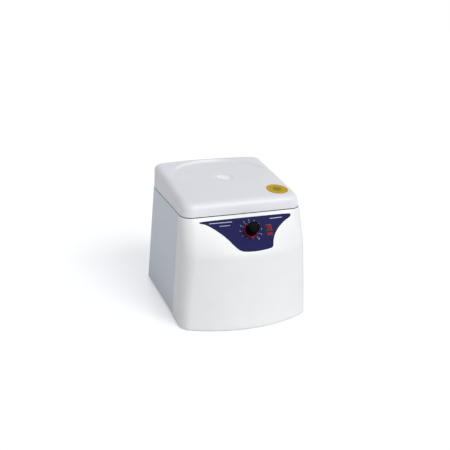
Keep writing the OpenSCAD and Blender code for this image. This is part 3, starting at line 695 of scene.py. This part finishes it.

# %% [markdown]
# The knob
# The knob is a tall turned cap with fine flutes and a rounded top, on a red ring with a pointer. The cap
# is turned from a profile that already holds its rounded top, and its side is drawn in a little along a
# wave round the axis for the flutes.

# %% Turn the knob
FLUTES = 36
cap_profile = [(3.2, 3.1), (14.2, 3.0), (14.5, 3.3), (14.5, 5.5), (14.2, 5.9), (13.8, 6.1), (13.75, 7.0),
               (13.6, 12), (13.4, 18), (13.25, 23), (13.1, 25.6), (12.7, 26.9), (11.9, 27.7), (10.9, 28.0),
               (10.3, 27.8), (9.8, 27.5), (5.0, 27.4), (0.02, 27.4)]
cap = turned("knob_cap", cap_profile, Matrix.Identity(4))
for vertex in cap.data.vertices:
    height = vertex.co.z / MM
    if 6.5 < height < 25:
        turn = math.atan2(vertex.co.y, vertex.co.x)
        draw_in = 1 - 0.022 * (0.5 + 0.5 * math.cos(turn * FLUTES))
        vertex.co.x *= draw_in
        vertex.co.y *= draw_in
cap.data.transform(KNOB)
in_edit(cap, lambda: bpy.ops.mesh.normals_make_consistent(inside=False))
finish(cap, "knob_plastic", "knob", "knob_body", smooth=40)

ring_profile = [(3.4, 1.8), (15.5, 1.8), (15.7, 2.1), (15.7, 2.7), (15.4, 3.0), (3.4, 3.0), (3.4, 1.8)]
ring = turned("knob_ring", ring_profile, Matrix.Identity(4))
bpy.ops.object.select_all(action="DESELECT")
bpy.ops.mesh.primitive_cylinder_add(
    vertices=3, radius=4.4 * MM, depth=1.1 * MM, location=(0, -16.0 * MM, 2.4 * MM))
pointer = bpy.context.object
pointer.rotation_euler.z = math.pi
bpy.ops.object.transform_apply(location=True, rotation=True, scale=True)
in_edit(pointer, lambda: bpy.ops.mesh.bevel(offset=0.3 * MM, segments=2, affect="EDGES"))
apply(ring, "BOOLEAN", operation="UNION", object=pointer, solver="EXACT")
bpy.data.objects.remove(pointer)
ring.data.transform(KNOB)
finish(ring, "red_plastic", "knob", "knob_pointer_ring", smooth=40)

# %% [markdown]
# Key, lamp window and label disc
# The key is a square cap with a shallow dished top, the lamp window a low dome behind the film, and the
# label a thin vinyl disc that follows the lid's crown.

# %% Key and lamp window
def dished(name, half_x, half_y, low, high, matrix, dish):
    block = soft_box(name, (-half_x, -half_y, low), (half_x, half_y, high), 0)
    only(block)
    bpy.ops.object.mode_set(mode="EDIT")
    bpy.ops.mesh.select_mode(type="FACE")
    bpy.ops.mesh.select_all(action="DESELECT")
    bpy.ops.object.mode_set(mode="OBJECT")
    for face in block.data.polygons:
        face.select = face.normal.z > 0.9
    bpy.ops.object.mode_set(mode="EDIT")
    bpy.ops.mesh.inset(thickness=1.3 * MM)
    bpy.ops.transform.translate(value=(0, 0, dish * MM))
    bpy.ops.mesh.select_all(action="SELECT")
    bpy.ops.mesh.bevel(offset=0.45 * MM, segments=3, affect="EDGES")
    bpy.ops.object.mode_set(mode="OBJECT")
    block.data.transform(matrix)
    return block


finish(dished("release_key", 5.5, 5.5, -7.4, 3.6, KEY, -0.5), "red_plastic", "button", "release_button",
       look="key_red")
finish(dished("lamp_window", 7.0, 3.5, -5.5, 1.4, LAMP, 0.1), "lens_red", "base", "indicator_lens")

# %% Label disc
LABEL = Vector((98, SEAM_FRONT + 45))
LABEL_R = 25.5
disc_rings = []
for radius in [LABEL_R * i / 14 for i in range(14, 0, -1)] + [0.02]:
    ring_points = []
    for i in range(96):
        x = LABEL.x + radius * math.cos(2 * math.pi * i / 96)
        y = LABEL.y + radius * math.sin(2 * math.pi * i / 96)
        ring_points.append((x, y, lid_height(x, y) + 0.40))
    disc_rings.append(ring_points)
disc = wrapped("label_vinyl", disc_rings)
if disc.data.polygons[0].normal.z < 0:
    in_edit(disc, lambda: bpy.ops.mesh.flip_normals())
apply(disc, "SOLIDIFY", thickness=0.3 * MM, offset=-1)


def label_finish():
    material, tree = empty_material("printed vinyl, yellow with rings")
    place = add_node(tree, "ShaderNodeTexCoord")
    centred = add_node(tree, "ShaderNodeMapping", {
        "Vector": place.outputs["Object"], "Location": (-LABEL.x * MM, -LABEL.y * MM, 0)})
    centred.inputs["Scale"].default_value = (1, 1, 0)
    distance = add_node(tree, "ShaderNodeVectorMath", {"Vector": centred.outputs["Vector"]},
                        operation="LENGTH")
    scaled = add_node(tree, "ShaderNodeMath", {0: distance.outputs["Value"], 1: 1000.0 / LABEL_R},
                      operation="MULTIPLY")
    rings = add_node(tree, "ShaderNodeValToRGB", {"Fac": scaled.outputs["Value"]})
    ramp = rings.color_ramp
    ramp.interpolation = "CONSTANT"
    yellow, dark = linear("#CDA600"), linear("#8F8208")
    stops = ((0.0, dark), (0.42, yellow), (0.60, dark), (0.64, yellow), (0.93, dark), (0.96, yellow))
    ramp.elements[0].color = stops[0][1]
    ramp.elements[1].position = stops[1][0]
    ramp.elements[1].color = stops[1][1]
    for spot, colour in stops[2:]:
        ramp.elements.new(spot).color = colour
    grain = add_node(tree, "ShaderNodeTexNoise", {"Vector": place.outputs["Object"], "Scale": 1600.0})
    relief = add_node(tree, "ShaderNodeBump", {
        "Height": grain.outputs["Fac"], "Strength": 0.08, "Distance": 0.0001})
    shader = add_node(tree, "ShaderNodeBsdfPrincipled", {
        "Base Color": rings.outputs["Color"], "Normal": relief.outputs["Normal"], "Roughness": 0.4,
        "Specular IOR Level": 0.06})
    add_node(tree, "ShaderNodeOutputMaterial", {"Surface": shader.outputs["BSDF"]})
    return material


FINISHES["label_yellow"] = label_finish()
finish(disc, "label_yellow", "lid", "label_disc")

# %% [markdown]
# Studio
# The floor is pale and very slightly glossy, so the cabinet keeps a soft shadow and a faint reflection.
# The background is white only to the camera; the lamps stay at a plain level. A broad sun from the front
# right lights the front most, the top less, and leaves the left side to the grey of the room.

# %% Floor, lamps and world
FLOOR_LIFT = 0.34
SUN_FROM = Vector((0.32, -0.74, 0.64))
bpy.ops.object.select_all(action="DESELECT")
bpy.ops.mesh.primitive_circle_add(vertices=96, radius=9, fill_type="NGON", location=(0, 0, 0))
floor = bpy.context.object
floor.name = "floor"
floor_material, tree = empty_material("pale studio floor")
ray = add_node(tree, "ShaderNodeLightPath")
lift = add_node(tree, "ShaderNodeMath", {0: ray.outputs["Is Camera Ray"], 1: FLOOR_LIFT},
                operation="MULTIPLY")
grain = add_node(tree, "ShaderNodeTexNoise", {"Scale": 60.0})
rough = add_node(tree, "ShaderNodeMapRange", {
    "Value": grain.outputs["Fac"], "To Min": 0.30, "To Max": 0.36})
surface = add_node(tree, "ShaderNodeBsdfPrincipled", {
    "Base Color": linear("#EEEFF1"), "Roughness": rough.outputs["Result"], "Emission Color": (1, 1, 1, 1),
    "Emission Strength": lift.outputs["Value"], "Specular IOR Level": 0.4})
add_node(tree, "ShaderNodeOutputMaterial", {"Surface": surface.outputs["BSDF"]})
floor.data.materials.append(floor_material)

sun_data = bpy.data.lights.new("broad sun", "SUN")
sun_data.energy = 1.62
sun_data.angle = math.radians(35)
sun = bpy.data.objects.new("broad sun", sun_data)
sun.rotation_euler = SUN_FROM.to_track_quat("Z", "Y").to_euler()
bpy.context.scene.collection.objects.link(sun)

world = bpy.data.worlds.new("white studio")
bpy.context.scene.world = world
world.use_nodes = True
tree = world.node_tree
tree.nodes.clear()
ray = add_node(tree, "ShaderNodeLightPath")
either = add_node(tree, "ShaderNodeMath", {0: ray.outputs["Is Camera Ray"], 1: ray.outputs["Is Glossy Ray"]},
                  operation="MAXIMUM")
clear = add_node(tree, "ShaderNodeMath", {0: either.outputs["Value"], 1: ray.outputs["Is Transmission Ray"]},
                 operation="MAXIMUM")
room = add_node(tree, "ShaderNodeBackground", {"Color": linear("#E6E8EC"), "Strength": 0.56})
white_room = add_node(tree, "ShaderNodeBackground", {"Color": (1, 1, 1, 1), "Strength": 1.0})
both = add_node(tree, "ShaderNodeMixShader", {0: clear.outputs["Value"], 1: room.outputs["Background"],
                                              2: white_room.outputs["Background"]})
add_node(tree, "ShaderNodeOutputWorld", {"Surface": both.outputs["Shader"]})
bpy.context.scene.view_settings.view_transform = "Standard"
print("lamps:", len(bpy.data.lights))
